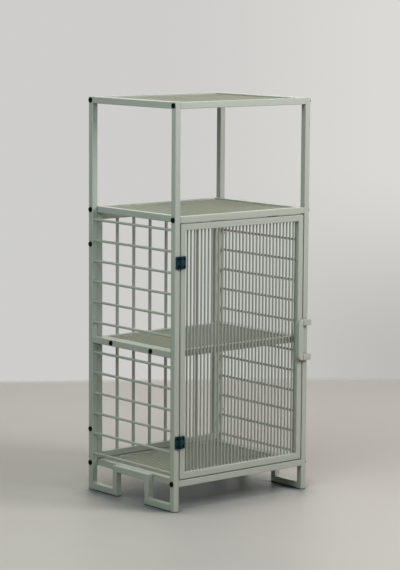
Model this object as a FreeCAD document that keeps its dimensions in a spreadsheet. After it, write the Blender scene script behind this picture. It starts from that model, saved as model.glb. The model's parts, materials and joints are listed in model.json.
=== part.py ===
"""Caged storage cabinet of square steel tube.

Two welded side frames carry three bolted trays, a bolted inner tray and a bolted back panel. A door of
upright rods swings on two block hinges at the left front post. +X points right, +Y back, +Z up; the
origin is on the floor, in the middle of the cabinet's bounding box.
"""
import FreeCAD, Part
import os
import re

import Sketcher

# Driving dimensions, in millimetres
SIZES = {
    # Frame and levels: each level is the top face of that tray's rails
    "width": 544.0,
    "depth": 427.0,
    "height": 1245.0,
    "second_level": 903.0,
    "middle_level": 493.0,
    "bottom_level": 97.0,
    # Square tube
    "tube": 20.0,
    "wall": 1.5,
    "corner": 2.0,
    "cap_thick": 1.5,
    # How far the rods of a tray lie below its rails
    "shelf_drop": 4.0,
    # Feet
    "foot_reach": 144.0,
    "pad_thick": 2.0,
    "pad_margin": 1.0,
    # Wires of the side walls
    "wire_diameter": 8.0,
    "wire_inset": 10.0,
    "wire_top_gap": 21.5,
    "wire_rise": 54.5,
    "wire_fall": 40.5,
    "wire_bottom_gap": 20.0,
    "wire_count": 6,
    # Bars of the back panel, and rods of the door and trays
    "bar_diameter": 10.0,
    "bar_count": 6,
    "rod_diameter": 6.0,
    "rod_count": 32,
    # Gaps round the panels
    "door_gap": 3.0,
    "panel_gap": 2.0,
    "tray_gap": 3.0,
    # Button-head bolts with their threaded plugs and nuts
    "bolt_diameter": 8.0,
    "bolt_clearance": 0.4,
    "bolt_tip_room": 3.5,
    "bolt_head": 16.0,
    "bolt_head_height": 4.4,
    "bolt_head_rim": 1.4,
    "bolt_socket": 5.0,
    "bolt_socket_depth": 2.5,
    "thread_clearance": 0.05,
    "plug_length": 18.0,
    "plug_clearance": 0.1,
    "nut_wall": 1.5,
    "nut_room": 4.5,
    "panel_bolt_inset": 96.5,
    "middle_bolt_spacing": 197.0,
    # Block hinges
    "hinge_width": 35.0,
    "hinge_height": 38.5,
    "hinge_inset": 115.5,
    "leaf_round": 1.5,
    "barrel_diameter": 10.0,
    "knuckle": 14.0,
    "hinge_clearance": 0.3,
    "pin_diameter": 5.0,
    "pin_clearance": 0.05,
    # Hinge screws, sunk into the leaves
    "screw_diameter": 5.0,
    "screw_reach": 9.0,
    "screw_head": 8.5,
    "screw_head_height": 2.4,
    "screw_sink": 0.3,
    "screw_clearance": 0.2,
    "screw_edge": 8.0,
    "screw_socket": 3.0,
    "screw_socket_depth": 1.4,
    # Handle and catch
    "handle_level": 485.0,
    "handle_height": 130.0,
    "handle_bar": 20.0,
    "handle_depth": 15.0,
    "handle_flat": 3.0,
    "handle_overhang": 9.5,
    "handle_round": 2.5,
    "handle_plate": 3.0,
    "stop_height": 20.0,
    "magnet_diameter": 12.0,
    "magnet_gap": 0.5,
}

# Places that many pieces share, as expressions of the driving dimensions
LEFT = "(-width / 2)"
RIGHT = "(width / 2)"
FRONT = "((handle_plate + handle_depth - depth) / 2)"
BACK = f"({FRONT} + depth)"
HALF_TUBE = "(tube / 2)"
LEFT_POST = f"({LEFT} + {HALF_TUBE})"
RIGHT_POST = f"({RIGHT} - {HALF_TUBE})"
FRONT_POST = f"({FRONT} + {HALF_TUBE})"
REAR_POST = f"({BACK} - {HALF_TUBE})"
CLEAR_WIDTH = "(width - 2 * tube)"
CLEAR_DEPTH = "(depth - 2 * tube)"
MIDDLE_RAIL = f"(middle_level - {HALF_TUBE})"
SECOND_LOW = "(second_level - tube)"
PANEL_LEFT = f"({LEFT} + tube)"
PANEL_LOW = "(bottom_level + panel_gap)"
PANEL_HIGH = f"({SECOND_LOW} - panel_gap)"
PANEL_BOLT_LEVELS = (f"({PANEL_LOW} + panel_bolt_inset)", f"({PANEL_HIGH} - panel_bolt_inset)")
MIDDLE_DEPTH = f"({FRONT} + depth / 2)"
BOLT_HOLE = "(bolt_diameter + 2 * bolt_clearance)"
NUT = "(bolt_diameter + 2 * nut_wall)"
NUT_HOLE = f"({NUT} + 2 * thread_clearance)"
DOOR_LEFT = f"({LEFT} + tube + door_gap)"
DOOR_LOW = "(bottom_level + door_gap)"
DOOR_HIGH = f"({SECOND_LOW} - door_gap)"
DOOR_WIDTH = f"({CLEAR_WIDTH} - 2 * door_gap)"
HINGE_STAND = "(barrel_diameter / 2 + hinge_clearance)"
HINGE_X = f"({LEFT} + tube + door_gap / 2)"
HINGE_Y = f"({FRONT} - {HINGE_STAND})"
HINGE_LEVELS = (f"({DOOR_LOW} + hinge_inset)", f"({DOOR_HIGH} - hinge_inset)")
SCREW_HOLE = "(screw_diameter + 2 * thread_clearance)"
SCREW_RISE = "(hinge_height / 2 - screw_edge)"
SCREW_LEVELS = [f"({level} {sign} {SCREW_RISE})" for level in HINGE_LEVELS for sign in "+-"]
SCREW_OFFSET = "((barrel_diameter + hinge_width) / 4)"
SCREW_OFF_TUBE = f"({SCREW_OFFSET} - door_gap / 2 - {HALF_TUBE})"
GRIP_LEFT = f"({DOOR_LEFT} + {DOOR_WIDTH} - tube - handle_overhang)"
GRIP_RIGHT = f"({GRIP_LEFT} + handle_bar)"

# Turns that lay a piece drawn along its own Z axis along one of the cabinet's axes
VECTOR = FreeCAD.Vector
TURNS = {
    "+X": FreeCAD.Rotation(VECTOR(0, 1, 0), 90),
    "-X": FreeCAD.Rotation(VECTOR(0, 1, 0), -90),
    "+Y": FreeCAD.Rotation(VECTOR(1, 0, 0), -90),
    "-Y": FreeCAD.Rotation(VECTOR(1, 0, 0), 90),
    "+Z": FreeCAD.Rotation(),
}

doc = FreeCAD.newDocument("cabinet")
sheet = doc.addObject("Spreadsheet::Sheet", "Sizes")
for row, (alias, value) in enumerate(SIZES.items(), start=1):
    sheet.set(f"A{row}", alias)
    sheet.set(f"B{row}", str(value))
    sheet.setAlias(f"B{row}", alias)
doc.recompute()

nodes = []


# Expressions

def sized(text):
    """The expression with each driving dimension read from the sheet."""
    return re.sub(r"[a-z_]+", lambda word: f"Sizes.{word.group()}", text)


def number(text):
    """The expression's present value."""
    return float(sheet.evalExpression(sized(text)))


def bind(item, **properties):
    """Ties the item's properties to expressions."""
    for name, text in properties.items():
        item.setExpression(name, sized(text))


def place(item, at, along="+Z", placement="Placement"):
    """Lays the item along an axis and ties its base point to the three expressions."""
    setattr(item, placement, FreeCAD.Placement(VECTOR(), TURNS[along]))
    for letter, text in zip("xyz", at):
        item.setExpression(f"{placement}.Base.{letter}", sized(text))


def node(label, item):
    """Names the item as a sub-part of the cabinet."""
    item.Label = label
    nodes.append(item)
    return item


# Sketches and features of a body

def new_body(name):
    return doc.addObject("PartDesign::Body", name)


def new_sketch(body, plane):
    """A sketch on one of the body's own planes."""
    sketch = body.newObject("Sketcher::SketchObject", f"{body.Name}_sketch")
    origin = {feature.Role: feature for feature in body.Origin.OriginFeatures}
    sketch.AttachmentSupport = [(origin[plane], "")]
    sketch.MapMode = "FlatFace"
    return sketch


def fix_point(sketch, curve, end, place_at):
    """Ties a point of a sketch curve to two expressions, measured from the sketch's origin."""
    for kind, text in zip(("DistanceX", "DistanceY"), place_at):
        rule = Sketcher.Constraint(kind, -1, 1, curve, end, number(text))
        index = sketch.addConstraint(rule)
        sketch.setExpression(f"Constraints[{index}]", sized(text))


def polygon(sketch, corners):
    """A closed outline whose corners are pairs of expressions."""
    first = sketch.GeometryCount
    points = [VECTOR(number(across), number(up)) for across, up in corners]
    count = len(points)
    for index in range(count):
        sketch.addGeometry(Part.LineSegment(points[index], points[(index + 1) % count]))
    for index in range(count):
        following = first + (index + 1) % count
        sketch.addConstraint(Sketcher.Constraint("Coincident", first + index, 2, following, 1))
    for index, corner in enumerate(corners):
        fix_point(sketch, first + index, 1, corner)


def square(sketch, side):
    """A square centred on the sketch's origin."""
    low = f"(-({side}) / 2)"
    high = f"(({side}) / 2)"
    polygon(sketch, [(low, low), (high, low), (high, high), (low, high)])


def circle(sketch, centre, diameter):
    """A circle with its centre and diameter tied to expressions."""
    curve = sketch.GeometryCount
    middle = VECTOR(number(centre[0]), number(centre[1]))
    sketch.addGeometry(Part.Circle(middle, VECTOR(0, 0, 1), number(diameter) / 2))
    fix_point(sketch, curve, 3, centre)
    index = sketch.addConstraint(Sketcher.Constraint("Diameter", curve, number(diameter)))
    sketch.setExpression(f"Constraints[{index}]", sized(diameter))


def pad(body, sketch, length):
    """Extrudes the sketch and returns the feature, ready to be read."""
    feature = body.newObject("PartDesign::Pad", f"{body.Name}_pad")
    feature.Profile = sketch
    bind(feature, Length=length)
    doc.recompute()
    return feature


def pocket(body, sketch, side="both"):
    """Cuts the sketch through the body: both ways, or only to the low or high side of its plane."""
    before = body.Shape.Volume
    feature = body.newObject("PartDesign::Pocket", f"{body.Name}_pocket")
    feature.Profile = sketch
    feature.Type = "ThroughAll"
    if side == "both":
        feature.SideType = "Symmetric"
    else:
        normal = sketch.getGlobalPlacement().Rotation.multVec(VECTOR(0, 0, 1))
        points_high = normal.x + normal.y + normal.z > 0
        feature.Reversed = points_high == (side == "high")
    doc.recompute()
    if body.Shape.Volume >= before:
        raise ValueError(f"a pocket of {body.Name} cuts nothing")
    return feature


def fillet(body, radius, wanted):
    """Rounds those edges of the body's last feature that the test picks."""
    base = body.Tip
    names = [f"Edge{index}" for index, edge in enumerate(base.Shape.Edges, start=1) if wanted(edge)]
    feature = body.newObject("PartDesign::Fillet", f"{body.Name}_fillet")
    feature.Base = (base, names)
    bind(feature, Radius=radius)
    doc.recompute()
    return feature


def runs_along(edge, axis):
    """Whether the edge is straight along the axis, given by its letter."""
    return isinstance(edge.Curve, Part.Line) and round(abs(getattr(edge.Curve.Direction, axis))) == 1


# Square tubes

def tube(name, length, at, along, mitres=(), holes=()):
    """A square tube that starts at the given point and runs along an axis.

    A mitre is (end, long side): the end is start or end, and the long side is one of the tube's own,
    such as -Y. A hole row is (plane, centres, diameter, side), drilled square to one of the tube's planes.
    """
    body = new_body(name)
    section = new_sketch(body, "XY_Plane")
    square(section, "tube")
    square(section, "tube - 2 * wall")
    pad(body, section, length)
    mid_wall = number("(tube - wall) / 2")

    def is_outer_corner(edge):
        point = edge.Vertexes[0].Point
        return runs_along(edge, "z") and min(abs(point.x), abs(point.y)) > mid_wall

    fillet(body, "corner", is_outer_corner)
    for end, long_side in mitres:
        mitre(body, length, end, long_side)
    for plane, centres, diameter, side in holes:
        drilling = new_sketch(body, plane)
        for centre in centres:
            circle(drilling, centre, diameter)
        pocket(body, drilling, side)
    place(body, at, along)
    return body


def mitre(body, length, end, long_side):
    """Cuts one end of a tube at 45 degrees, leaving it full length on the long side."""
    sign, axis = long_side
    long_edge = f"(0 {sign} tube)"
    short_edge = f"(-{long_edge})"
    if end == "start":
        tip = "(-tube / 2)"
        root = "(3 * tube / 2)"
    else:
        tip = f"({length} + tube / 2)"
        root = f"({length} - 3 * tube / 2)"
    wedge = new_sketch(body, f"{axis}Z_Plane")
    polygon(wedge, [(long_edge, tip), (short_edge, root), (short_edge, tip)])
    pocket(body, wedge)


def rod_row(name, diameter, length, count, pitch, at, along, row_axis):
    """A row of like round rods, spaced along one of their body's own axes."""
    body = new_body(name)
    body.AllowCompound = True
    section = new_sketch(body, "XY_Plane")
    circle(section, ("0", "0"), diameter)
    first = pad(body, section, length)
    row = body.newObject("PartDesign::LinearPattern", f"{name}_row")
    row.Originals = [first]
    origin = {feature.Role: feature for feature in body.Origin.OriginFeatures}
    row.Direction = (origin[row_axis], [""])
    bind(row, Occurrences=count, Length=f"({count} - 1) * ({pitch})")
    body.Tip = row
    place(body, at, along)
    return body


# Solids, cuts and groups

def box(name, size, at):
    item = doc.addObject("Part::Box", name)
    bind(item, Length=size[0], Width=size[1], Height=size[2])
    place(item, at)
    return item


def cylinder(name, diameter, length, at, along="+Z"):
    item = doc.addObject("Part::Cylinder", name)
    bind(item, Radius=f"({diameter}) / 2", Height=length)
    place(item, at, along)
    return item


def hexagon(name, across_flats, length, at):
    item = doc.addObject("Part::Prism", name)
    item.Polygon = 6
    bind(item, Circumradius=f"({across_flats}) / 3 ^ 0.5", Height=length)
    place(item, at)
    return item


def fuse(name, items):
    item = doc.addObject("Part::MultiFuse", name)
    item.Shapes = items
    item.Refine = True
    return item


def cut(name, base, tools):
    """The base with every tool taken out of it."""
    for index, tool in enumerate(tools):
        item = doc.addObject("Part::Cut", f"{name}_{index}")
        item.Base = base
        item.Tool = tool
        base = item
    return base


def rounded(name, base, radius, wanted):
    """The base with the edges that the test picks rounded to the radius."""
    doc.recompute()
    item = doc.addObject("Part::Fillet", name)
    item.Base = base
    size = number(radius)
    edges = enumerate(base.Shape.Edges, start=1)
    item.Edges = [(index, size, size) for index, edge in edges if wanted(edge)]
    return item


def copies(label, source, places):
    """A node of like pieces: the source repeated at each place, given as a point and an axis."""
    links = []
    for at, along in places:
        link = doc.addObject("App::Link", f"{label}_piece")
        link.LinkedObject = source
        link.LinkTransform = True
        place(link, at, along, "LinkPlacement")
        links.append(link)
    return group(label, links)


def group(label, items):
    """A node that holds several separate solids."""
    item = doc.addObject("Part::Compound", label)
    item.Links = items
    return node(label, item)


# Side frames

def post(name, x, y, panel_bolts, hinge_screws):
    """An upright with bolt holes across it, and hinge screw holes in the front wall of the hinge post."""
    foot = "pad_thick"
    levels = [f"({level} - {HALF_TUBE})" for level in ("height", "second_level", "bottom_level")]
    if panel_bolts:
        levels += PANEL_BOLT_LEVELS
    holes = [("YZ_Plane", [("0", f"({level} - {foot})") for level in levels], BOLT_HOLE, "both")]
    if hinge_screws:
        centres = [(f"(-{SCREW_OFF_TUBE})", f"({level} - {foot})") for level in SCREW_LEVELS]
        holes.append(("XZ_Plane", centres, SCREW_HOLE, "low"))
    length = f"(height - cap_thick - {foot})"
    node(name, tube(name, length, (x, y, foot), "+Z", holes=holes))


def side_frame(side, x, wire_x):
    """One welded side: posts, rails, foot and wires."""
    post(f"{side}_front_post", x, FRONT_POST, False, side == "left")
    post(f"{side}_rear_post", x, REAR_POST, True, False)
    inner = f"({FRONT} + tube)"
    top = (x, inner, f"(height - {HALF_TUBE})")
    node(f"{side}_top_rail", tube(f"{side}_top_rail", CLEAR_DEPTH, top, "+Y"))
    bolt_places = [("0", f"({CLEAR_DEPTH} {sign} middle_bolt_spacing) / 2") for sign in "-+"]
    bolt_row = ("YZ_Plane", bolt_places, BOLT_HOLE, "both")
    middle = (x, inner, MIDDLE_RAIL)
    node(f"{side}_middle_rail", tube(f"{side}_middle_rail", CLEAR_DEPTH, middle, "+Y", holes=[bolt_row]))
    foot(side, x)
    wires(side, wire_x)


def foot(side, x):
    """Runner, upright and arch rail, mitred to each other so that no tube end stays open."""
    runner_level = f"(pad_thick + {HALF_TUBE})"
    runner = "(foot_reach - tube)"
    upright = "(bottom_level - pad_thick)"
    upright_front = f"({FRONT} + foot_reach - {HALF_TUBE})"
    upright_rear = f"({BACK} - foot_reach + {HALF_TUBE})"
    front_runner = tube(
        f"{side}_front_runner", runner, (x, f"({FRONT} + tube)", runner_level), "+Y", [("end", "+Y")])
    rear_runner = tube(
        f"{side}_rear_runner", runner, (x, f"({BACK} - tube)", runner_level), "-Y", [("end", "-Y")])
    front_upright = tube(
        f"{side}_front_upright", upright, (x, upright_front, "pad_thick"), "+Z",
        [("start", "+Y"), ("end", "-Y")])
    rear_upright = tube(
        f"{side}_rear_upright", upright, (x, upright_rear, "pad_thick"), "+Z",
        [("start", "-Y"), ("end", "+Y")])
    arch = tube(
        f"{side}_arch_rail", "(depth - 2 * (foot_reach - tube))",
        (x, f"({FRONT} + foot_reach - tube)", f"(bottom_level - {HALF_TUBE})"), "+Y",
        [("start", "-Y"), ("end", "-Y")])
    group(f"{side}_foot_runners", [front_runner, rear_runner])
    group(f"{side}_foot_uprights", [front_upright, rear_upright])
    node(f"{side}_foot_arch_rail", arch)


def wires(side, x):
    """Wires welded between the posts, one row above the middle rail and one below it."""
    rows = []
    for part_name, top, low in (
        ("upper", f"({SECOND_LOW} - wire_top_gap)", f"({MIDDLE_RAIL} + wire_rise)"),
        ("lower", f"({MIDDLE_RAIL} - wire_fall)", "(bottom_level + wire_bottom_gap)"),
    ):
        pitch = f"(({top} - {low}) / (wire_count - 1))"
        start = (x, f"({FRONT} + tube)", top)
        name = f"{side}_{part_name}_wires"
        rows.append(rod_row(name, "wire_diameter", CLEAR_DEPTH, "wire_count", pitch, start, "+Y", "Y_Axis"))
    group(f"{side}_wires", rows)


side_frame("left", LEFT_POST, f"({LEFT} + wire_inset)")
side_frame("right", RIGHT_POST, f"({RIGHT} - wire_inset)")

cap_base = box("cap_block", ("tube", "tube", "cap_thick"), (f"-{HALF_TUBE}", f"-{HALF_TUBE}", "0"))
cap = rounded("cap", cap_base, "corner", lambda edge: runs_along(edge, "z"))
post_tops = [
    ((x, y, "(height - cap_thick)"), "+Z") for x in (LEFT_POST, RIGHT_POST) for y in (FRONT_POST, REAR_POST)
]
copies("post_caps", cap, post_tops)

PAD_LENGTH = "(foot_reach - 2 * pad_margin)"
foot_pad = box(
    "foot_pad", ("tube - 2 * pad_margin", PAD_LENGTH, "pad_thick"),
    (f"(pad_margin - {HALF_TUBE})", "0", "0"))
pad_places = []
for x in (LEFT_POST, RIGHT_POST):
    for y in (f"({FRONT} + pad_margin)", f"({BACK} - pad_margin - {PAD_LENGTH})"):
        pad_places.append(((x, y, "0"), "+Z"))
copies("foot_pads", foot_pad, pad_places)


# Trays

def tray(name, level, inset, side_nuts=False):
    """A welded rectangle of tube, set back from the front and back by the inset, with a row of sunk rods."""
    centre = f"({level} - {HALF_TUBE})"
    first_x = f"({LEFT} + tube)"
    front_y = f"({FRONT} + {inset} + {HALF_TUBE})"
    rear_y = f"({BACK} - {inset} - {HALF_TUBE})"
    for end, y in (("front", front_y), ("rear", rear_y)):
        rail_name = f"{name}_{end}_rail"
        node(rail_name, tube(rail_name, CLEAR_WIDTH, (first_x, y, centre), "+X"))
    inner_y = f"({FRONT} + {inset} + tube)"
    inner_depth = f"(depth - 2 * ({inset}) - 2 * tube)"
    for side, x, wall_side in (
        ("left", f"({LEFT} + 3 * {HALF_TUBE})", "low"),
        ("right", f"({RIGHT} - 3 * {HALF_TUBE})", "high"),
    ):
        rail_name = f"{name}_{side}_rail"
        holes = []
        if side_nuts:
            places = [("0", f"({inner_depth} {sign} middle_bolt_spacing) / 2") for sign in "-+"]
            holes.append(("YZ_Plane", places, NUT_HOLE, wall_side))
        node(rail_name, tube(rail_name, inner_depth, (x, inner_y, centre), "+Y", holes=holes))
    pitch = "((width - 4 * tube) / (rod_count + 1))"
    start = (f"({LEFT} + 2 * tube + {pitch})", inner_y, f"({level} - shelf_drop - rod_diameter / 2)")
    rods = rod_row(
        f"{name}_rods", "rod_diameter", inner_depth, "rod_count", pitch, start, "+Y", "X_Axis")
    node(f"{name}_rods", rods)


tray("top_tray", "height", "0")
tray("second_tray", "second_level", "0")
tray("middle_tray", "middle_level", "(tube + tray_gap)", side_nuts=True)
tray("bottom_tray", "bottom_level", "0")


# Framed panels

def framed_panel(name, left, low, wide, high, y, holes_left=(), holes_right=()):
    """Two stiles and two rails, mitred at the corners. A rail's own +X side faces down."""
    tall = f"({high} - {low})"
    right = f"({left} + {wide})"
    for label, x, outward, holes in (
        ("left_stile", f"({left} + {HALF_TUBE})", "-X", holes_left),
        ("right_stile", f"({right} - {HALF_TUBE})", "+X", holes_right),
    ):
        mitres = [("start", outward), ("end", outward)]
        node(f"{name}_{label}", tube(f"{name}_{label}", tall, (x, y, low), "+Z", mitres, holes))
    for label, z, outward in (
        ("bottom_rail", f"({low} + {HALF_TUBE})", "+X"),
        ("top_rail", f"({high} - {HALF_TUBE})", "-X"),
    ):
        mitres = [("start", outward), ("end", outward)]
        node(f"{name}_{label}", tube(f"{name}_{label}", wide, (left, y, z), "+X", mitres))


def uprights(name, diameter, count, left, low, wide, high, y):
    """Round uprights that divide the inside of a framed panel evenly."""
    pitch = f"(({wide} - 2 * tube) / ({count} + 1))"
    start = (f"({left} + tube + {pitch})", y, f"({low} + tube)")
    length = f"({high} - {low} - 2 * tube)"
    node(name, rod_row(name, diameter, length, count, pitch, start, "+Z", "X_Axis"))


def wall_holes(levels, base, diameter, plane, side, across="0"):
    """A row of holes in one wall of an upright tube that starts at the base level."""
    return [(plane, [(across, f"({level} - {base})") for level in levels], diameter, side)]


framed_panel(
    "back_panel", PANEL_LEFT, PANEL_LOW, CLEAR_WIDTH, PANEL_HIGH, REAR_POST,
    wall_holes(PANEL_BOLT_LEVELS, PANEL_LOW, NUT_HOLE, "YZ_Plane", "low"),
    wall_holes(PANEL_BOLT_LEVELS, PANEL_LOW, NUT_HOLE, "YZ_Plane", "high"))
uprights(
    "back_panel_bars", "bar_diameter", "bar_count", PANEL_LEFT, PANEL_LOW, CLEAR_WIDTH, PANEL_HIGH,
    REAR_POST)
framed_panel(
    "door", DOOR_LEFT, DOOR_LOW, DOOR_WIDTH, DOOR_HIGH, FRONT_POST,
    wall_holes(SCREW_LEVELS, DOOR_LOW, SCREW_HOLE, "XZ_Plane", "low", SCREW_OFF_TUBE))
uprights(
    "door_rods", "rod_diameter", "rod_count", DOOR_LEFT, DOOR_LOW, DOOR_WIDTH, DOOR_HIGH, FRONT_POST)


# Bolts with their threaded plugs and nuts

def socket_screw(name, diameter, reach, head, head_height, socket, socket_depth):
    """A screw along +Z, head on top, with its seat at the origin."""
    shank = cylinder(f"{name}_shank", diameter, f"({reach} + {head_height} / 2)", ("0", "0", f"-({reach})"))
    cap_piece = cylinder(f"{name}_head", head, head_height, ("0", "0", "0"))
    key = hexagon(f"{name}_key", socket, head_height, ("0", "0", f"({head_height} - {socket_depth})"))
    return fuse(f"{name}_blank", [shank, cap_piece]), key


def is_head_rim(edge):
    """Whether the edge is the rim on top of a bolt's head."""
    return edge.BoundBox.ZMin > number("(bolt_head_height + bolt_head_rim) / 2")


blank, key = socket_screw(
    "bolt", "bolt_diameter", "(2 * tube - wall - bolt_tip_room)", "bolt_head", "bolt_head_height",
    "bolt_socket", "bolt_socket_depth")
domed = rounded("bolt_domed", blank, "(bolt_head_height - bolt_head_rim)", is_head_rim)
bolt = cut("bolt", domed, [key])

THREAD_HOLE = "(bolt_diameter + 2 * thread_clearance)"
PLUG_SIDE = "(tube - 2 * wall - 2 * plug_clearance)"
plug = cut(
    "plug",
    box("plug_block", (PLUG_SIDE, PLUG_SIDE, "plug_length"), (f"-{PLUG_SIDE} / 2", f"-{PLUG_SIDE} / 2", "0")),
    [cylinder("plug_thread", THREAD_HOLE, "plug_length", ("0", "0", "0"))])
NUT_LENGTH = "(tube - wall - nut_room)"
nut = cut(
    "nut",
    cylinder("nut_body", NUT, NUT_LENGTH, ("0", "0", "0")),
    [cylinder("nut_thread", THREAD_HOLE, NUT_LENGTH, ("0", "0", "0"))])

tray_spots = [
    (y, f"({level} - {HALF_TUBE})")
    for level in ("height", "second_level", "bottom_level") for y in (FRONT_POST, REAR_POST)
]
nut_spots = [(REAR_POST, level) for level in PANEL_BOLT_LEVELS]
nut_spots += [(f"({MIDDLE_DEPTH} {sign} middle_bolt_spacing / 2)", MIDDLE_RAIL) for sign in "-+"]
SIDES = ((LEFT, f"({LEFT} + tube)", "-X", "+X"), (RIGHT, f"({RIGHT} - tube)", "+X", "-X"))
bolt_places = []
plug_places = []
nut_places = []
for outer, inner, outward, inward in SIDES:
    bolt_places += [((outer, y, z), outward) for y, z in tray_spots + nut_spots]
    plug_places += [((inner, y, z), inward) for y, z in tray_spots]
    nut_places += [((inner, y, z), inward) for y, z in nut_spots]
copies("frame_bolts", bolt, bolt_places)
copies("tray_end_plugs", plug, plug_places)
copies("threaded_nuts", nut, nut_places)


# Hinges, drawn round their own axis. A leaf is half as thick as the barrel, so that the hinge folds flat.

HINGE_LOW = "(-hinge_height / 2)"
LEAF_THICK = "(barrel_diameter / 2)"
LEAF_FACE = "hinge_clearance"
SINK_DEPTH = "(screw_sink + screw_head_height)"


def hinge_leaf(name, plate_x, screw_x, gaps):
    """A plate with its part of the barrel, bored for the pin and two sunk screws."""
    plate = box(
        f"{name}_plate", ("hinge_width / 2", LEAF_THICK, "hinge_height"), (plate_x, LEAF_FACE, HINGE_LOW))
    mid_leaf = number("hinge_width / 4")

    def is_outer_corner(edge):
        return runs_along(edge, "y") and abs(edge.Vertexes[0].Point.x) > mid_leaf

    rounded_plate = rounded(f"{name}_rounded", plate, "leaf_round", is_outer_corner)
    barrel = cylinder(f"{name}_barrel", "barrel_diameter", "hinge_height", ("0", "0", HINGE_LOW))
    leaf = fuse(f"{name}_blank", [rounded_plate, barrel])
    reach = "(barrel_diameter + 2 * hinge_clearance)"
    edge_of_gap = f"(-{reach} / 2)"
    tools = [
        box(f"{name}_gap", (reach, reach, tall), (edge_of_gap, edge_of_gap, low)) for low, tall in gaps
    ]
    bore = "(pin_diameter + 2 * pin_clearance)"
    tools.append(cylinder(f"{name}_bore", bore, "hinge_height", ("0", "0", HINGE_LOW)))
    for level in (SCREW_RISE, f"(-{SCREW_RISE})"):
        hole = "(screw_diameter + 2 * screw_clearance)"
        sink = "(screw_head + 2 * screw_clearance)"
        start = (screw_x, LEAF_FACE, level)
        tools.append(cylinder(f"{name}_screw_hole", hole, LEAF_THICK, start, "+Y"))
        tools.append(cylinder(f"{name}_screw_sink", sink, SINK_DEPTH, start, "+Y"))
    return cut(name, leaf, tools)


KNUCKLE_GAP = "(knuckle + 2 * hinge_clearance)"
END_GAP = "((hinge_height - knuckle) / 2)"
post_leaf = hinge_leaf(
    "post_leaf", "(-hinge_width / 2)", f"-{SCREW_OFFSET}", [(f"-{KNUCKLE_GAP} / 2", KNUCKLE_GAP)])
door_leaf = hinge_leaf(
    "door_leaf", "0", SCREW_OFFSET, [(HINGE_LOW, END_GAP), ("(knuckle / 2)", END_GAP)])
pin = cylinder("pin", "pin_diameter", "hinge_height", ("0", "0", HINGE_LOW))
hinge_places = [((HINGE_X, HINGE_Y, level), "+Z") for level in HINGE_LEVELS]
copies("hinge_post_leaves", post_leaf, hinge_places)
copies("hinge_door_leaves", door_leaf, hinge_places)
copies("hinge_pins", pin, hinge_places)

screw_blank, screw_key = socket_screw(
    "screw", "screw_diameter", "screw_reach", "screw_head", "screw_head_height", "screw_socket",
    "screw_socket_depth")
screw = cut("screw", screw_blank, [screw_key])
seat_y = f"({HINGE_Y} + {LEAF_FACE} + {SINK_DEPTH})"
for label, x in (
    ("hinge_post_screws", f"({HINGE_X} - {SCREW_OFFSET})"),
    ("hinge_door_screws", f"({HINGE_X} + {SCREW_OFFSET})"),
):
    copies(label, screw, [((x, seat_y, level), "-Y") for level in SCREW_LEVELS])


# Handle, with stops that reach over the front of the right post

HALF_HANDLE = "(handle_height / 2)"
BELOW_HALF = f"(-{HALF_HANDLE})"
GRIP_BACK = f"({FRONT} - handle_plate)"
mid_bar = number("handle_bar / 2")
mid_handle = number("-handle_depth / 2")


def handle_slab(name, wide, thick, back):
    """A slab of the handle's height on a plane that faces -Y, with its two left corners rounded off."""
    body = new_body(name)
    outline = new_sketch(body, "XZ_Plane")
    polygon(outline, [("0", BELOW_HALF), (wide, BELOW_HALF), (wide, HALF_HANDLE), ("0", HALF_HANDLE)])
    pad(body, outline, thick)
    fillet(
        body, "(handle_bar - handle_flat)",
        lambda edge: runs_along(edge, "y") and edge.Vertexes[0].Point.x < mid_bar)
    place(body, (GRIP_LEFT, back, "handle_level"))
    return node(name, body)


handle_slab("handle_plate", "(tube + handle_overhang)", "handle_plate", FRONT)
grip = handle_slab("handle_grip", "handle_bar", "handle_depth", GRIP_BACK)
fillet(grip, "handle_round", lambda edge: edge.BoundBox.YMax < mid_handle)

STOP_LENGTH = f"({RIGHT} - {GRIP_RIGHT})"
stop_block = box("stop_block", (STOP_LENGTH, "handle_depth", "stop_height"), ("0", "-handle_depth", "0"))
stop = rounded("stop", stop_block, "handle_round", lambda edge: edge.BoundBox.YMin < mid_handle)
stop_levels = (f"(handle_level - {HALF_HANDLE})", f"(handle_level + {HALF_HANDLE} - stop_height)")
copies("handle_stops", stop, [((GRIP_RIGHT, GRIP_BACK, z), "+Z") for z in stop_levels])
magnet = cylinder("magnet", "magnet_diameter", "(handle_plate - magnet_gap)", ("0", "0", "0"))
copies("catch_magnets", magnet, [
    ((RIGHT_POST, GRIP_BACK, f"({z} + stop_height / 2)"), "+Y") for z in stop_levels])


# Checks, then one file for each sub-part

doc.recompute()
for item in doc.Objects:
    if "Invalid" in item.State or "Error" in item.State:
        raise ValueError(f"{item.Label} failed to build")
for item in nodes:
    if item.Shape.isNull() or not item.Shape.isValid() or not item.Shape.Solids:
        raise ValueError(f"{item.Label} has no valid solid")
os.makedirs("parts", exist_ok=True)
for item in nodes:
    item.Shape.exportStep(f"parts/{item.Label}.step")
print(len(nodes), "sub-parts written")
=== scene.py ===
"""Dresses the caged storage cabinet: powder coat, fittings, welds, studio floor, lamps and camera."""
import json
import math

import bmesh
import bpy
from bpy.props import FloatProperty, FloatVectorProperty, PointerProperty
from bpy.types import Operator, Panel, PropertyGroup
from mathutils import Matrix, Vector


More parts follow.
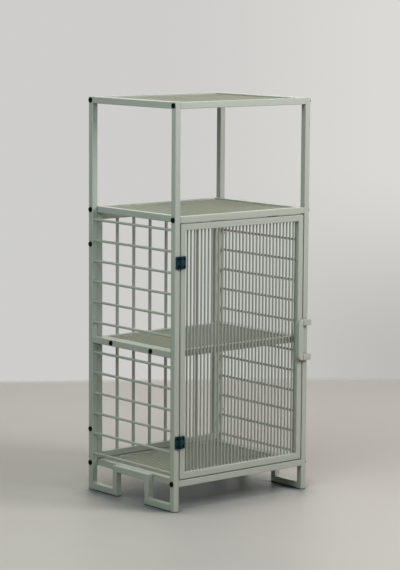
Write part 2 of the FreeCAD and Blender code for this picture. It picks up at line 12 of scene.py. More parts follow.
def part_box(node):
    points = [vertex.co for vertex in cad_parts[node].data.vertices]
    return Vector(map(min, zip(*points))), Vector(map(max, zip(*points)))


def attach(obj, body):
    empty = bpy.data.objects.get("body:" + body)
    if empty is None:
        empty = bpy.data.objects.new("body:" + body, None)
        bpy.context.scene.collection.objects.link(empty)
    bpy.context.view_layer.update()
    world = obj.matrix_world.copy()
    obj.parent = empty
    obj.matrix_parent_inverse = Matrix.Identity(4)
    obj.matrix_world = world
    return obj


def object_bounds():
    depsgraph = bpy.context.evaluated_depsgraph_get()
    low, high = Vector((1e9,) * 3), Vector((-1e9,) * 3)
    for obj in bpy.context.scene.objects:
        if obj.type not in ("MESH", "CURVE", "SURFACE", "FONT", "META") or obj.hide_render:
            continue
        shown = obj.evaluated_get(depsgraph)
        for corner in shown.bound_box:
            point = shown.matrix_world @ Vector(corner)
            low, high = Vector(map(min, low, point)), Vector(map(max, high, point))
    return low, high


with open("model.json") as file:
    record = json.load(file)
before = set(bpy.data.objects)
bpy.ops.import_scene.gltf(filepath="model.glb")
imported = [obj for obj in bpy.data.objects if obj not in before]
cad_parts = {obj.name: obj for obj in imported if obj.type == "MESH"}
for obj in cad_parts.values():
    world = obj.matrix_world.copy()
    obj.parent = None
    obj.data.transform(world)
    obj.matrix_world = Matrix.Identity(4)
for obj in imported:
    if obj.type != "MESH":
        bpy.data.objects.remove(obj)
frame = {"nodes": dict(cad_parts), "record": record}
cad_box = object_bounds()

bl_info = {
    "name": "Caged Cabinet",
    "version": (1, 0, 0),
    "blender": (4, 5, 0),
    "location": "View3D > Sidebar > Cabinet",
    "description": "Powder coat, fittings, welds and studio for a storage cabinet of square tube",
    "category": "Object",
}

CABINET = "cabinet"
DOOR = "door"
SIDES = ("left", "right")
TRAYS = ("top_tray", "second_tray", "middle_tray", "bottom_tray")
PANEL_PARTS = ("left_stile", "right_stile", "bottom_rail", "top_rail")
FRAME_COAT = "frame_coat"
ROD_COAT = "rod_coat"
WELD_COAT = "weld_coat"
X = Vector((1, 0, 0))
Y = Vector((0, 1, 0))
Z = Vector((0, 0, 1))


# Settings that a user would change

class CoatSettings(PropertyGroup):
    """The powder coat on tubes and rods."""

    light: FloatVectorProperty(
        name="Light Tone", description="Sage tone of the coat where it lies thick", subtype="COLOR",
        default=(0.410, 0.426, 0.378), min=0, max=1)
    deep: FloatVectorProperty(
        name="Deep Tone", description="Sage tone of the coat where it lies thin", subtype="COLOR",
        default=(0.376, 0.398, 0.353), min=0, max=1)
    # Painted shade: the door's rods take a darker copy of the frame coat, standing in for the shade on their
    # sides
    rod_shaded_tone: FloatVectorProperty(
        name="Rod Light Tone", description="Tone of the thinner coat on the door's rods", subtype="COLOR",
        default=(0.330, 0.340, 0.305), min=0, max=1)
    rod_shaded_deep: FloatVectorProperty(
        name="Rod Deep Tone", description="Darker clouds on the door's rods", subtype="COLOR",
        default=(0.290, 0.302, 0.272), min=0, max=1)
    # Painted light: the trays' rods take a lighter, more olive copy of the frame coat, standing in for the
    # warm light on them
    shelf_lit_tone: FloatVectorProperty(
        name="Shelf Light Tone", description="Olive tone of the rods in the trays", subtype="COLOR",
        default=(0.425, 0.410, 0.330), min=0, max=1)
    shelf_lit_deep: FloatVectorProperty(
        name="Shelf Deep Tone", description="Darker clouds on the rods in the trays", subtype="COLOR",
        default=(0.385, 0.374, 0.302), min=0, max=1)
    # Painted shade: a darker tone put into the coat's inside corners, where shade falls
    painted_corner_shade: FloatVectorProperty(
        name="Corner Tone", description="Tone of the coat deep in inside corners", subtype="COLOR",
        default=(0.110, 0.128, 0.114), min=0, max=1)
    roughness: FloatProperty(
        name="Roughness", description="Satin of the coat", subtype="FACTOR", default=0.42, min=0, max=1)
    gloss: FloatProperty(
        name="Gloss", description="Strength of the coat's reflections", subtype="FACTOR",
        default=0.45, min=0, max=1)
    weld_roughness: FloatProperty(
        name="Weld Roughness", description="Satin of the coat where it has run smooth over a weld",
        subtype="FACTOR", default=0.28, min=0, max=1)
    weld_gloss: FloatProperty(
        name="Weld Gloss", description="Strength of the welds' reflections", subtype="FACTOR",
        default=0.6, min=0, max=1)
    shelf_roughness: FloatProperty(
        name="Shelf Roughness", description="Matt of the coat where things have rubbed the trays' rods",
        subtype="FACTOR", default=0.55, min=0, max=1)
    shelf_gloss: FloatProperty(
        name="Shelf Gloss", description="Strength of the reflections of the trays' rods", subtype="FACTOR",
        default=0.25, min=0, max=1)
    peel_size: FloatProperty(
        name="Peel Size", description="Width of one ripple of the coat's orange peel", subtype="DISTANCE",
        default=0.0022, min=0.0001)
    peel_depth: FloatProperty(
        name="Peel Depth", description="Height of the orange peel", subtype="DISTANCE",
        default=0.00003, min=0)
    # How far the painted corner shade spreads from an inside corner
    corner_shade_reach: FloatProperty(
        name="Corner Reach", description="How far the darker tone spreads from an inside corner",
        subtype="DISTANCE", default=0.006, min=0)


class FittingSettings(PropertyGroup):
    """Hinges, bolts, steel pieces and foot pads."""

    hinge: FloatVectorProperty(
        name="Hinge", description="Blue-black plastic of the block hinges", subtype="COLOR",
        default=(0.002, 0.013, 0.022), min=0, max=1)
    # Painted highlight: a lighter teal that stands in for the hinges' highlights
    hinge_highlight: FloatVectorProperty(
        name="Hinge Rubbed", description="Hinge plastic where it has been rubbed", subtype="COLOR",
        default=(0.009, 0.066, 0.092), min=0, max=1)
    # How much painted highlight each leaf takes, more on the door's leaves than on the post's
    post_leaf_highlight: FloatProperty(
        name="Post Leaf Wear", description="How far the leaves on the post are rubbed", subtype="FACTOR",
        default=0.25, min=0, max=1)
    door_leaf_highlight: FloatProperty(
        name="Door Leaf Wear", description="How far the leaves on the door are rubbed", subtype="FACTOR",
        default=0.90, min=0, max=1)
    bolt: FloatVectorProperty(
        name="Bolt", description="Black oxide on bolts and screws", subtype="COLOR",
        default=(0.0006, 0.0016, 0.0022), min=0, max=1)
    bolt_bare: FloatVectorProperty(
        name="Bolt Bare", description="Thin oxide where the steel shows", subtype="COLOR",
        default=(0.003, 0.006, 0.008), min=0, max=1)
    steel: FloatVectorProperty(
        name="Steel", description="Zinc-plated steel", subtype="COLOR",
        default=(0.62, 0.62, 0.60), min=0, max=1)
    steel_dull: FloatVectorProperty(
        name="Dull Steel", description="Duller bloom on the zinc", subtype="COLOR",
        default=(0.45, 0.46, 0.46), min=0, max=1)
    rubber: FloatVectorProperty(
        name="Rubber", description="Rubber of the foot pads", subtype="COLOR",
        default=(0.022, 0.022, 0.022), min=0, max=1)
    rubber_dusty: FloatVectorProperty(
        name="Dusty Rubber", description="Foot pads where floor dust clings", subtype="COLOR",
        default=(0.060, 0.058, 0.054), min=0, max=1)


class WeldSettings(PropertyGroup):
    """Weld beads, painted over with the coat."""

    leg: FloatProperty(
        name="Corner Leg", description="Width of a bead on each face of an inside corner",
        subtype="DISTANCE", default=0.0028, min=0)
    foot_leg: FloatProperty(
        name="Foot Leg", description="Width of the heavier beads in the feet", subtype="DISTANCE",
        default=0.0046, min=0)
    ripple: FloatProperty(
        name="Ripple", description="Length of one ripple along a bead", subtype="DISTANCE",
        default=0.0016, min=0.0002)
    collar: FloatProperty(
        name="Collar", description="Width of the weld round a rod's end", subtype="DISTANCE",
        default=0.0013, min=0)
    seam_width: FloatProperty(
        name="Seam Width", description="Width of the dressed weld along a mitre", subtype="DISTANCE",
        default=0.0026, min=0)
    seam_height: FloatProperty(
        name="Seam Height", description="Height of the dressed weld along a mitre", subtype="DISTANCE",
        default=0.00022, min=0)


class StudioSettings(PropertyGroup):
    """Floor, wall colour, lamps and camera."""

    floor: FloatVectorProperty(
        name="Floor", description="Colour of the floor", subtype="COLOR",
        default=(0.548, 0.502, 0.482), min=0, max=1)
    floor_deep: FloatVectorProperty(
        name="Floor Clouds", description="Deeper clouds in the floor", subtype="COLOR",
        default=(0.528, 0.485, 0.467), min=0, max=1)
    floor_far: FloatVectorProperty(
        name="Floor Far", description="Colour of the floor towards the wall", subtype="COLOR",
        default=(0.745, 0.700, 0.690), min=0, max=1)
    floor_bounce: FloatVectorProperty(
        name="Floor Bounce", description="Colour of the light that the floor throws back", subtype="COLOR",
        default=(0.548, 0.480, 0.385), min=0, max=1)
    # Painted shadow: the floor's colour where the cabinet stands close over it
    floor_shade: FloatVectorProperty(
        name="Floor Shade", description="Floor where the cabinet stands close over it", subtype="COLOR",
        default=(0.055, 0.075, 0.084), min=0, max=1)
    shade_reach: FloatProperty(
        name="Shade Reach", description="How near a thing must be to shade the floor's colour",
        subtype="DISTANCE", default=0.25, min=0)
    floor_reach: FloatProperty(
        name="Floor Reach", description="Distance from the cabinet to where the floor meets the wall",
        subtype="DISTANCE", default=1.99, min=1)
    floor_softness: FloatProperty(
        name="Floor Softness", description="Width of the soft line between floor and wall",
        subtype="DISTANCE", default=0.10, min=0)
    wall_turn: FloatProperty(
        name="Wall Turn", description="Turn of the floor's far edge from square to the view", subtype="ANGLE",
        default=math.radians(5.3))
    wall: FloatVectorProperty(
        name="Wall", description="Wall colour at the left", subtype="COLOR",
        default=(0.617, 0.613, 0.598), min=0, max=1)
    wall_low: FloatVectorProperty(
        name="Wall Low", description="Wall colour at the right near the floor", subtype="COLOR",
        default=(0.500, 0.495, 0.470), min=0, max=1)
    wall_high: FloatVectorProperty(
        name="Wall High", description="Wall colour at the right near the top", subtype="COLOR",
        default=(0.705, 0.697, 0.670), min=0, max=1)
    ambient: FloatVectorProperty(
        name="Ambient", description="Light from all round", subtype="COLOR",
        default=(0.012, 0.014, 0.014), min=0, max=1)
    key_power: FloatProperty(
        name="Key Power", description="Square lamp high at the right", unit="POWER", default=56, min=0)
    front_power: FloatProperty(
        name="Front Power", description="High lamp in front", unit="POWER", default=30, min=0)
    top_power: FloatProperty(
        name="Top Power", description="Wide lamp overhead", unit="POWER", default=16.5, min=0)
    fill_power: FloatProperty(
        name="Fill Power", description="Cool lamp at the left front", unit="POWER", default=27, min=0)
    back_power: FloatProperty(
        name="Back Power", description="Wide lamp behind, for the light off the wall", unit="POWER",
        default=38, min=0)
    rear_power: FloatProperty(
        name="Rear Power", description="Low lamp behind, for the faces that are turned from the camera",
        unit="POWER", default=40, min=0)
    eye: FloatVectorProperty(
        name="Eye", description="Where the camera stands", subtype="TRANSLATION",
        default=(-4.5052, -5.3595, 1.5866))
    azimuth: FloatProperty(
        name="Azimuth", description="Turn of the view from straight at the front", subtype="ANGLE",
        default=math.radians(40.04))
    drop: FloatProperty(
        name="Drop", description="How far the view points below the horizon", subtype="ANGLE",
        default=math.radians(7.575))
    roll: FloatProperty(
        name="Roll", description="Tilt of the camera about its view", subtype="ANGLE",
        default=math.radians(0.388))
    lens: FloatProperty(
        name="Lens", description="Focal length of the camera", unit="CAMERA", default=141.79)


# Shader sockets in Python expressions

class Signal:
    """A shader socket that takes part in arithmetic. Each operator adds the Math node that it stands for."""

    def __init__(self, socket):
        self.socket = socket

    @staticmethod
    def node(tree, kind, settings=None, inputs=None, output=0):
        """Adds a node, sets it up, feeds its sockets and returns one of its outputs."""
        made = tree.nodes.new(kind)
        for name, value in (settings or {}).items():
            setattr(made, name, value)
        for name, value in (inputs or {}).items():
            if isinstance(value, Signal):
                tree.links.new(value.socket, made.inputs[name])
            else:
                made.inputs[name].default_value = value
        return Signal(made.outputs[output]) if len(made.outputs) else None

    def math(self, operation, first, second):
        """A Math node in the tree of this socket."""
        tree = self.socket.id_data
        return Signal.node(tree, "ShaderNodeMath", {"operation": operation}, {0: first, 1: second})

    def __add__(self, other):
        return self.math("ADD", self, other)

    def __radd__(self, other):
        return self.math("ADD", other, self)

    def __sub__(self, other):
        return self.math("SUBTRACT", self, other)

    def __rsub__(self, other):
        return self.math("SUBTRACT", other, self)

    def __mul__(self, other):
        return self.math("MULTIPLY", self, other)

    def __rmul__(self, other):
        return self.math("MULTIPLY", other, self)

    def __pow__(self, other):
        return self.math("POWER", self, other)


NOISE_MEAN = 0.5
PLAIN_DETAIL = 2.0
EVEN = (1, 1, 1)
OPEN_SAMPLES = 6
# Colour sockets of a Mix node, counted among those for the other kinds of value
MIX_FIRST = 6
MIX_SECOND = 7
MIX_COLOUR = 2


def mixed(tree, share, first, second):
    """The first colour, with the share of the second that the signal gives."""
    inputs = {0: share, MIX_FIRST: opaque(first), MIX_SECOND: opaque(second)}
    return Signal.node(tree, "ShaderNodeMix", {"data_type": "RGBA"}, inputs, MIX_COLOUR)


def opaque(colour):
    """A setting's three numbers as a colour with alpha. A signal passes through."""
    return colour if isinstance(colour, Signal) else (*colour, 1)


def noise(tree, grain, stretch=EVEN, detail=PLAIN_DETAIL):
    """Cloudy values from 0 to 1 whose clouds are about one grain wide, stretched along the axes."""
    place = Signal.node(tree, "ShaderNodeTexCoord", output="Object")
    scale = tuple(1 / (grain * share) for share in stretch)
    spread = Signal.node(tree, "ShaderNodeVectorMath", {"operation": "MULTIPLY"}, {0: place, 1: scale})
    return Signal.node(
        tree, "ShaderNodeTexNoise", inputs={"Vector": spread, "Scale": 1.0, "Detail": detail})


def remapped(tree, value, low, high):
    """The value stretched from low..high to 0..1, with soft ends."""
    settings = {"interpolation_type": "SMOOTHSTEP"}
    return Signal.node(
        tree, "ShaderNodeMapRange", settings, {"Value": value, "From Min": low, "From Max": high})


def open_share(tree, reach):
    """The share of the way out of a point that is open as far as the reach."""
    settings = {"samples": OPEN_SAMPLES}
    return Signal.node(tree, "ShaderNodeAmbientOcclusion", settings, {"Distance": reach}, "AO")


def bumped(tree, height, depth):
    """A normal for the height pattern, whose full range is that deep."""
    return Signal.node(tree, "ShaderNodeBump", inputs={"Height": height, "Distance": depth, "Strength": 1.0})


def in_sight(tree):
    """One where the camera looks, straight or by way of a reflection, and nought for other light."""
    rays = [
        Signal.node(tree, "ShaderNodeLightPath", output=f"Is {kind} Ray")
        for kind in ("Camera", "Glossy", "Transmission")
    ]
    return rays[0] + rays[1] + rays[2]


# Finishes

def new_finish(name):
    """An empty material and its node tree."""
    material = bpy.data.materials.new(name)
    material.use_nodes = True
    material.node_tree.nodes.clear()
    return material, material.node_tree


def principled(tree, **inputs):
    """The tree's one shader, with spaces in socket names written as underscores."""
    named = {name.replace("_", " "): value for name, value in inputs.items()}
    shader = Signal.node(tree, "ShaderNodeBsdfPrincipled", inputs=named)
    Signal.node(tree, "ShaderNodeOutputMaterial", inputs={"Surface": shader})


def paint(slot, material):
    """Puts the material on every CAD node that the record gives this slot."""
    names = [part["node"] for part in frame["record"]["subparts"] if part["material_slot"] == slot]
    if not names:
        raise ValueError(f"no node has the slot {slot}")
    for name in names:
        paint_node(name, material)


def paint_node(node, material):
    """Puts the material on one CAD node."""
    for holder in frame["nodes"][node].material_slots:
        holder.material = material


# Powder coat: its clouds and specks, what they do to tone, satin and relief, and the painted shade in its
# inside corners
CLOUD = 0.16
CLOUD_DETAIL = 3.0
CLOUD_SHARE = 0.75
CLOUD_SATIN = 0.10
CLOUDS_ALONG_Y = (1, 2.5, 1)
CLOUDS_ALONG_Z = (1, 1, 2.5)
SPECK = 0.0009
SPECK_SATIN = 0.06
SPECK_RELIEF = 0.15
PEEL_DETAIL = 1.0
# How open a point is where the painted corner shade is full and where it ends, and how strong that shade is
CORNER_SHADE_OPEN = (0.30, 0.95)
CORNER_SHADE_STRENGTH = 0.55
COAT_IOR = 1.5


def powder_coat(name, light, deep, coat, stretch, roughness, gloss):
    """Satin powder coat: soft clouds of tone, fine specks, orange peel, and painted shade that darkens inside
    corners.
    """
    material, tree = new_finish(name)
    clouds = noise(tree, CLOUD, stretch, CLOUD_DETAIL)
    specks = noise(tree, SPECK)
    tone = mixed(tree, CLOUD_SHARE * clouds + (1 - CLOUD_SHARE) * specks, light, deep)
    # Painted shade: the coat turns towards the corner shade tone where little of the way out of a point is
    # open
    corner = 1 - remapped(tree, open_share(tree, coat.corner_shade_reach), *CORNER_SHADE_OPEN)
    peel = noise(tree, coat.peel_size, detail=PEEL_DETAIL)
    principled(
        tree,
        Base_Color=mixed(tree, CORNER_SHADE_STRENGTH * corner, tone, coat.painted_corner_shade),
        Roughness=roughness + CLOUD_SATIN * (clouds - NOISE_MEAN) + SPECK_SATIN * (specks - NOISE_MEAN),
        Normal=bumped(tree, peel + SPECK_RELIEF * specks, coat.peel_depth),
        Specular_IOR_Level=gloss,
        IOR=COAT_IOR)
    return material


# Hinge plastic: its moulded grain and the lighter teal patches of painted highlight
HINGE_GRAIN = 0.0006
HINGE_GRAIN_DEPTH = 0.00003
HINGE_GRAIN_SATIN = 0.10
HINGE_ROUGHNESS = 0.40
HINGE_GLOSS = 0.12
HIGHLIGHT_PATCH = 0.008
HIGHLIGHT_DETAIL = 4.0
HIGHLIGHT_RANGE = (0.45, 0.75)
HIGHLIGHT_POLISH = 0.10
EVEN_HIGHLIGHT = 0.5


def hinge_plastic(name, fittings, highlight_share):
    """Moulded blue-black plastic with a fine spark-eroded grain and lighter teal patches of painted
    highlight.
    """
    material, tree = new_finish(name)
    grain = noise(tree, HINGE_GRAIN)
    # Painted highlight: patches of lighter teal, with their share set per leaf
    highlight_patches = remapped(tree, noise(tree, HIGHLIGHT_PATCH, detail=HIGHLIGHT_DETAIL), *HIGHLIGHT_RANGE)
    highlighted = highlight_share * (EVEN_HIGHLIGHT + (1 - EVEN_HIGHLIGHT) * highlight_patches)
    principled(
        tree,
        Base_Color=mixed(tree, highlighted, fittings.hinge, fittings.hinge_highlight),
        Roughness=HINGE_ROUGHNESS - HIGHLIGHT_POLISH * highlight_patches + HINGE_GRAIN_SATIN * (grain - NOISE_MEAN),
        Normal=bumped(tree, grain, HINGE_GRAIN_DEPTH),
        Specular_IOR_Level=HINGE_GLOSS)
    return material


# Black oxide: its bare patches and turning marks
BARE_PATCH = 0.003
BARE_DETAIL = 3.0
BARE_RANGE = (0.5, 0.8)
BARE_METAL = 0.2
OXIDE_ROUGHNESS = 0.46
OXIDE_GLOSS = 0.06
TURNING_WIDTH = 0.0004
TURNING_STRETCH = (12, 1, 1)
TURNING_SATIN = 0.14
TURNING_DEPTH = 0.00001


def black_oxide(fittings):
    """Blackened steel, a little bare in patches, with fine turning marks."""
    material, tree = new_finish("black_oxide")
    bare = remapped(tree, noise(tree, BARE_PATCH, detail=BARE_DETAIL), *BARE_RANGE)
    marks = noise(tree, TURNING_WIDTH, TURNING_STRETCH)
    principled(
        tree,
        Base_Color=mixed(tree, bare, fittings.bolt, fittings.bolt_bare),
        Metallic=BARE_METAL * bare,
        Roughness=OXIDE_ROUGHNESS + TURNING_SATIN * marks,
        Normal=bumped(tree, marks, TURNING_DEPTH),
        Specular_IOR_Level=OXIDE_GLOSS)
    return material


# Zinc: its cloudy bloom and drawn streaks
BLOOM = 0.004
BLOOM_DETAIL = 4.0
BLOOM_SATIN = 0.16
ZINC_ROUGHNESS = 0.24
STREAK_WIDTH = 0.0003
STREAK_STRETCH = (1, 1, 30)
STREAK_SATIN = 0.08
STREAK_DEPTH = 0.00001


def zinc(fittings):
    """Zinc-plated steel with a cloudy bloom and drawn streaks."""
    material, tree = new_finish("zinc")
    bloom = noise(tree, BLOOM, detail=BLOOM_DETAIL)
    streaks = noise(tree, STREAK_WIDTH, STREAK_STRETCH)
    principled(
        tree,
        Base_Color=mixed(tree, bloom, fittings.steel, fittings.steel_dull),
        Metallic=1.0,
        Roughness=ZINC_ROUGHNESS + BLOOM_SATIN * bloom + STREAK_SATIN * streaks,
        Normal=bumped(tree, streaks, STREAK_DEPTH))
    return material


# Pad rubber: its dust and ribs
DUST_PATCH = 0.012
DUST_DETAIL = 5.0
DUST_RANGE = (0.4, 0.8)
DUST_SATIN = 0.12
RUBBER_ROUGHNESS = 0.80
RIB_WIDTH = 0.0015
RIB_STRETCH = (40, 1, 40)
RIB_DETAIL = 0.0
RIB_DEPTH = 0.0002


def pad_rubber(fittings):
    """Black rubber strip with ribs across it and a little floor dust."""
    material, tree = new_finish("pad_rubber")
    dust = remapped(tree, noise(tree, DUST_PATCH, detail=DUST_DETAIL), *DUST_RANGE)
    ribs = noise(tree, RIB_WIDTH, RIB_STRETCH, RIB_DETAIL)
    principled(
        tree,
        Base_Color=mixed(tree, dust, fittings.rubber, fittings.rubber_dusty),
        Roughness=RUBBER_ROUGHNESS + DUST_SATIN * dust,
        Normal=bumped(tree, ribs, RIB_DEPTH))
    return material


# Meshes

# Points nearer to each other than this count as one
SAME_POINT = 1e-6


def solids(node):
    """The lowest and highest corner of each separate solid of a CAD node."""
    bm = bmesh.new()
    bm.from_mesh(frame["nodes"][node].data)
    bmesh.ops.remove_doubles(bm, verts=bm.verts, dist=SAME_POINT)
    waiting = set(bm.verts)
    boxes = []
    while waiting:
        border = [waiting.pop()]
        points = []
        while border:
            vertex = border.pop()
            points.append(vertex.co.copy())
            near = {edge.other_vert(vertex) for edge in vertex.link_edges} & waiting
            waiting -= near
            border.extend(near)
        low = Vector(min(point[axis] for point in points) for axis in range(3))
        high = Vector(max(point[axis] for point in points) for axis in range(3))
        boxes.append((low, high))
    bm.free()
    return sorted(boxes, key=lambda box: tuple(box[0]))


def skin(bm, rings, closed=False):
    """Faces over a row of point rings. The row is joined into a loop, or its two ends are capped."""
    loops = [[bm.verts.new(point) for point in ring] for ring in rings]
    pairs = list(zip(loops, loops[1:]))
    if closed:
        pairs.append((loops[-1], loops[0]))
    for first, second in pairs:
        for index in range(len(first)):
            before = index - 1
            bm.faces.new((first[before], first[index], second[index], second[before]))
    if not closed:
        bm.faces.new(loops[0])
        bm.faces.new(loops[-1])


def weld_piece(name, bm, body):
    """Turns the mesh into a smooth coated weld that rides on a body."""
    bmesh.ops.recalc_face_normals(bm, faces=bm.faces)
    mesh = bpy.data.meshes.new(name)
    bm.to_mesh(mesh)
    bm.free()
    mesh.shade_smooth()
    mesh.materials.append(bpy.data.materials[WELD_COAT])
    piece = bpy.data.objects.new(name, mesh)
    bpy.context.scene.collection.objects.link(piece)
    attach(piece, body)


# How deep a weld's back lies in the tubes, and how its ends are rounded off
SINK = 0.0005
END_POWER = 6


def tapered(share, blunt):
    """A weld's width along its run: full in the middle and rounded off to a blunt end."""
    return max(blunt, (1 - abs(2 * share - 1) ** END_POWER) ** 0.5)


BEAD_FACE_STEPS = 6
BEAD_HOLLOW = 0.16
BEAD_BLUNT = 0.2
LEAST_RIPPLES = 2
RIPPLE_STEPS = 4
RIPPLE_LOW = 0.92
RIPPLE_RISE = 0.12


def corner_bead(bm, start, end, first, second, weld, leg):
    """A rippled weld along an inside corner. The two unit directions lie along the corner's faces."""
    run = end - start
    ripples = max(LEAST_RIPPLES, round(run.length / weld.ripple))
    count = ripples * RIPPLE_STEPS
    rings = []
    for step in range(count + 1):
        share = step / count
        ripple = RIPPLE_LOW + RIPPLE_RISE * abs(math.sin(math.pi * share * ripples))
        size = leg * tapered(share, BEAD_BLUNT) * ripple
        corner = start + run * share
        ring = [corner - (first + second) * SINK, corner + first * size - second * SINK]
        for face_step in range(BEAD_FACE_STEPS + 1):
            angle = math.pi / 2 * face_step / BEAD_FACE_STEPS
            reach = size * (1 - BEAD_HOLLOW * math.sin(2 * angle))
            ring.append(corner + (first * math.cos(angle) + second * math.sin(angle)) * reach)
        ring.append(corner + second * size - first * SINK)
        rings.append(ring)
    skin(bm, rings)


# The radius of a tube's outer corners, which welds across its flats keep clear of
TUBE_CORNER = 0.002


def bead_across(bm, corner, axis, box, ways, weld, leg):
    """A bead in an inside corner, across the flat of a tube: as far along the axis as the box reaches."""
    start = corner.copy()
    end = corner.copy()
    index = max(range(3), key=lambda number: abs(axis[number]))
    start[index] = box[0][index] + TUBE_CORNER
    end[index] = box[1][index] - TUBE_CORNER
    corner_bead(bm, start, end, *ways, weld, leg)


COLLAR_STEPS = 20
COLLAR_FACE_STEPS = 4
COLLAR_HOLLOW = 0.22
WIDE_LOBES = 3
WIDE_SWELL = 0.18
FINE_LOBES = 7
FINE_SWELL = 0.10


def collar(bm, centre, axis, radius, weld, phase):
    """A small weld round a rod's end. The axis is a unit direction away from the face that holds the rod."""
    across = axis.orthogonal().normalized()
    along = axis.cross(across)
    rings = []
    for step in range(COLLAR_STEPS):
        angle = 2 * math.pi * step / COLLAR_STEPS
        out = across * math.cos(angle) + along * math.sin(angle)
        wide = WIDE_SWELL * math.sin(WIDE_LOBES * angle + phase)
        fine = FINE_SWELL * math.sin(FINE_LOBES * angle - phase)
        size = weld.collar * (1 + wide + fine)
        ring = [centre + out * (radius - SINK) - axis * SINK, centre + out * (radius + size) - axis * SINK]
        for face_step in range(COLLAR_FACE_STEPS + 1):
            turn = math.pi / 2 * face_step / COLLAR_FACE_STEPS
            reach = size * (1 - COLLAR_HOLLOW * math.sin(2 * turn))
            ring.append(centre + out * (radius + reach * math.cos(turn)) + axis * reach * math.sin(turn))
        ring.append(centre + out * (radius - SINK) + axis * size)
        rings.append(ring)
    skin(bm, rings, closed=True)


SEAM_FACE_STEPS = 6
SEAM_BLUNT = 0.15
LEAST_SEAM_STEPS = 4


def seam(bm, start, end, normal, weld):
    """A low dressed weld from start to end on a flat face."""
    run = end - start
    across = run.normalized().cross(normal)
    count = max(LEAST_SEAM_STEPS, round(run.length / weld.ripple))
    rings = []
    for step in range(count + 1):
        share = step / count
        taper = tapered(share, SEAM_BLUNT)
        middle = start + run * share
        half = weld.seam_width / 2 * taper
        ring = [middle - across * half - normal * SINK]
        for face_step in range(SEAM_FACE_STEPS + 1):
            place = 2 * face_step / SEAM_FACE_STEPS - 1
            ring.append(middle + across * half * place + normal * weld.seam_height * taper * (1 - place ** 2))
        ring.append(middle + across * half - normal * SINK)
        rings.append(ring)
    skin(bm, rings)


def mitre_seam(bm, start, end, normal, weld):
    """A dressed seam along a mitre, kept clear of the tubes' round corners."""
    inset = (end - start).normalized() * TUBE_CORNER * math.sqrt(2)
    seam(bm, start + inset, end - inset, normal, weld)


# Stage

FLOOR_MARGIN = 1.5
FLOOR_SEGMENTS = 24


def lay_floor(scene, studio):
    """A floor that fades softly into the wall colour, nearly square to the camera's view."""
    bm = bmesh.new()
    bmesh.ops.create_grid(
        bm, x_segments=FLOOR_SEGMENTS, y_segments=FLOOR_SEGMENTS, size=studio.floor_reach * FLOOR_MARGIN)
    mesh = bpy.data.meshes.new("floor")
    bm.to_mesh(mesh)
    bm.free()
    floor = bpy.data.objects.new("floor", mesh)
    floor.rotation_euler.z = studio.wall_turn - studio.azimuth
    scene.collection.objects.link(floor)
    mesh.materials.append(floor_finish(studio))
    return floor


FLOOR_CLOUD = 0.5
FLOOR_CLOUD_DETAIL = 4.0
FLOOR_CLOUD_SATIN = 0.08
FLOOR_ROUGHNESS = 0.42
FLOOR_GLOSS = 0.15
# Distances beyond the cabinet over which the floor takes its far colour
FAR_RANGE = (0.2, 1.5)
# How open the floor is where its painted shadow is full and where it ends, and how strong it is
SHADE_OPEN = (0.54, 0.84)
SHADE_STRENGTH = 0.95


def floor_finish(studio):
    """Pale smooth floor with faint clouds and a painted shadow where the cabinet stands close over it,
    see-through beyond the soft edge of a rounded square.
    """
    material, tree = new_finish("floor_finish")
    clouds = noise(tree, FLOOR_CLOUD, detail=FLOOR_CLOUD_DETAIL)
    place = Signal.node(tree, "ShaderNodeTexCoord", output="Object")
    across = Signal.node(tree, "ShaderNodeSeparateXYZ", inputs={0: place}, output="X")
    ahead = Signal.node(tree, "ShaderNodeSeparateXYZ", inputs={0: place}, output="Y")
    near = mixed(tree, clouds, studio.floor, studio.floor_deep)
    shown = mixed(tree, remapped(tree, ahead, *FAR_RANGE), near, studio.floor_far)
    tone = mixed(tree, in_sight(tree), studio.floor_bounce, shown)
    # Painted shadow: the floor turns towards the shade colour where the cabinet closes off the way out
    covered = 1 - remapped(tree, open_share(tree, studio.shade_reach), *SHADE_OPEN)
    shader = Signal.node(tree, "ShaderNodeBsdfPrincipled", inputs={
        "Base Color": mixed(tree, SHADE_STRENGTH * covered, tone, studio.floor_shade),
        "Roughness": FLOOR_ROUGHNESS + FLOOR_CLOUD_SATIN * clouds,
        "Specular IOR Level": FLOOR_GLOSS})
    distance = ((across * across) ** 2 + (ahead * ahead) ** 2) ** 0.25
    half = studio.floor_softness / 2
    gone = remapped(tree, distance, studio.floor_reach - half, studio.floor_reach + half)
    clear = Signal.node(tree, "ShaderNodeBsdfTransparent")
    surface = Signal.node(tree, "ShaderNodeMixShader", inputs={0: gone, 1: shader, 2: clear})
    Signal.node(tree, "ShaderNodeOutputMaterial", inputs={"Surface": surface})
    return material


# Upward and rightward parts of a look's direction, between which the wall's colour changes
WALL_RISE = (-0.165, -0.075)
WALL_SPREAD = (-0.02, 0.10)


def colour_world(scene, studio):
    """The wall's colour for the camera and reflections, and even light for everything else."""
    world = bpy.data.worlds.new("studio")
    world.use_nodes = True
    tree = world.node_tree
    tree.nodes.clear()
    way = Signal.node(tree, "ShaderNodeTexCoord", output="Generated")
    height = Signal.node(tree, "ShaderNodeSeparateXYZ", inputs={0: way}, output="Z")
    side = Signal.node(
        tree, "ShaderNodeVectorMath", {"operation": "DOT_PRODUCT"}, {0: way, 1: across_view(studio)}, "Value")
    right_wall = mixed(tree, remapped(tree, height, *WALL_RISE), studio.wall_low, studio.wall_high)
    wall = mixed(tree, remapped(tree, side, *WALL_SPREAD), studio.wall, right_wall)
    colour = mixed(tree, in_sight(tree), studio.ambient, wall)
    sky = Signal.node(tree, "ShaderNodeBackground", inputs={"Color": colour, "Strength": 1.0})
    Signal.node(tree, "ShaderNodeOutputWorld", inputs={"Surface": sky})
    scene.world = world


def across_view(studio):
    """The level direction to the right of the camera's view."""
    return Vector((math.cos(studio.azimuth), -math.sin(studio.azimuth), 0))


